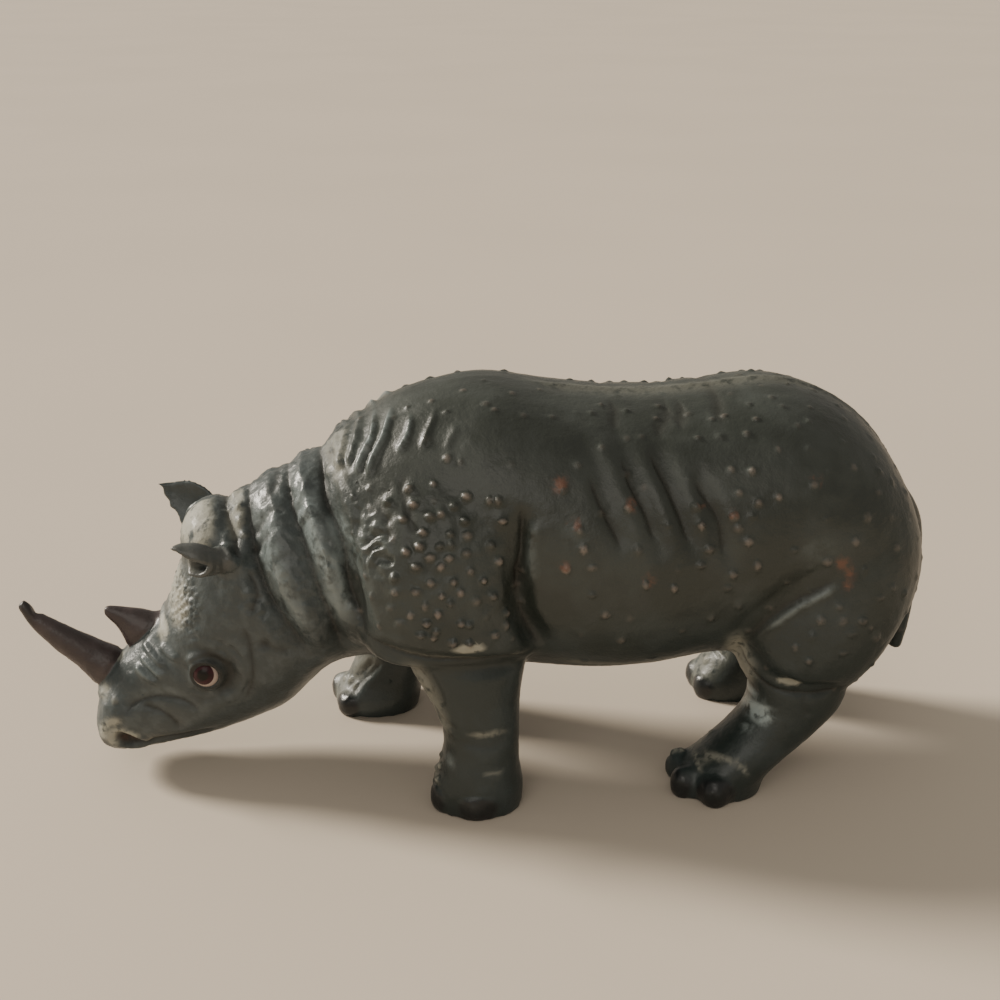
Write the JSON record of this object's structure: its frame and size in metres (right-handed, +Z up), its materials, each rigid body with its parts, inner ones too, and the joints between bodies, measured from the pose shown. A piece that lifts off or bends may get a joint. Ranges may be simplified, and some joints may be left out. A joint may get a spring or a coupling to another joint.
{
  "type": "rhinoceros figurine",
  "caption": "Small moulded figurine of a walking rhinoceros, head lowered, with two horns, folded neck, ribbed flanks and a tail lying against the rump; it stands on its feet.",
  "frame": {"origin": "middle of the bounding box, on the plane that the soles stand on", "axes": "+Z up; the nose points to -X and the rump to +X; the animal's left side faces -Y"},
  "size_m": [0.153, 0.0518, 0.0672],
  "materials": {
    "figure": "dark olive-green painted soft PVC with a slight gloss, the horns brown and the nails black"
  },
  "bodies": {
    "root": {"rhinoceros": "figure"}
  },
  "joints": []
}
